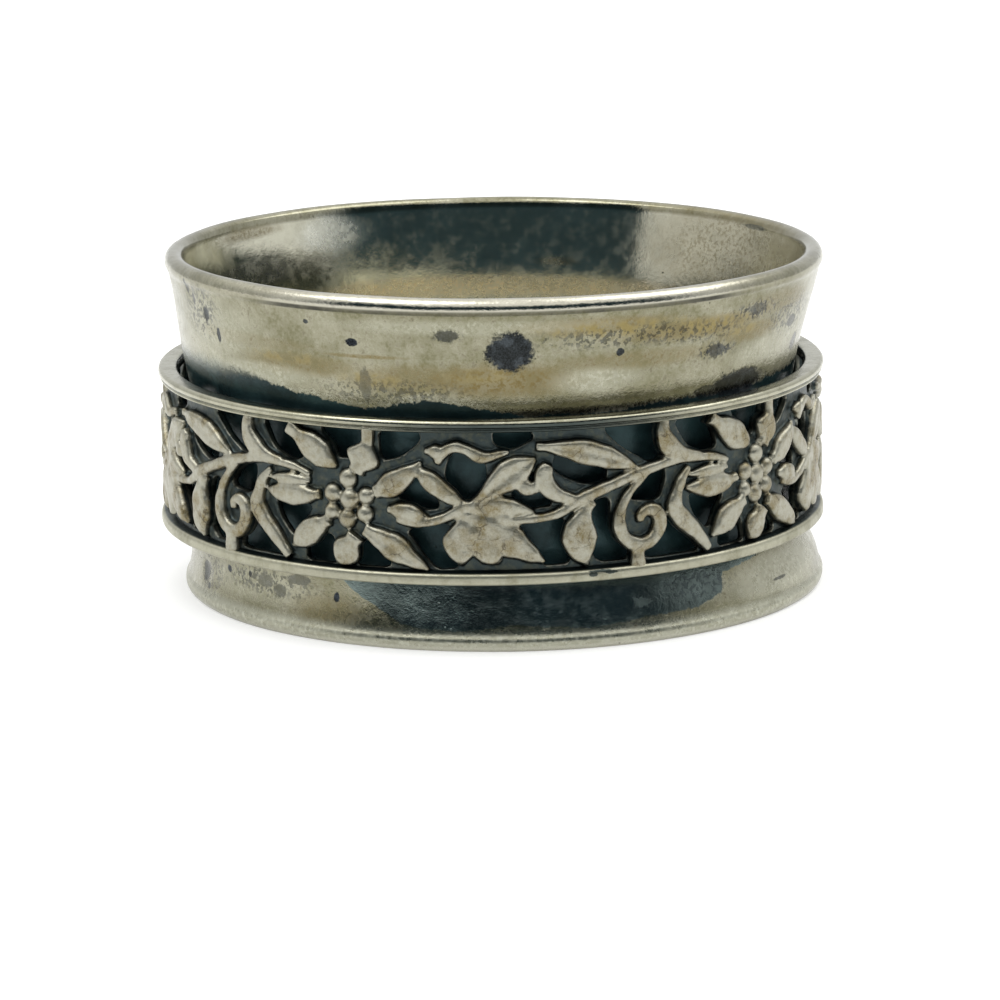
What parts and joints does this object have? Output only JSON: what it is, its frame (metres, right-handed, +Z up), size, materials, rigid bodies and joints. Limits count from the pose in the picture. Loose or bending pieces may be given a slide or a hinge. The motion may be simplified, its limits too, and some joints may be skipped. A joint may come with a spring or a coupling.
{
  "type": "spinner ring",
  "caption": "Worn silver spinner ring: a thin flared core band with a loose pierced band of flowers and scrolls that turns round it.",
  "frame": {"origin": "middle of the lower edge, on the surface that the ring rests on", "axes": "+Z up along the finger's axis, -Y towards the viewer of the picture, +X to the viewer's right"},
  "size_m": [0.0214, 0.0214, 0.0109],
  "materials": {
    "core_silver": "worn sheet silver with a warm patina, small pits and dark stains",
    "spinner_silver": "cast silver, worn bright on the raised leaves and blackened in the recesses"
  },
  "bodies": {
    "core": {"core_band": "core_silver"},
    "spinner": {"spinner_band": "spinner_silver"}
  },
  "joints": [
    {"name": "spinner_spin", "type": "hinge", "parent": "core", "child": "spinner", "pos_m": [0, 0, 0.00468], "axis": [0, 0, 1], "continuous": true}
  ]
}
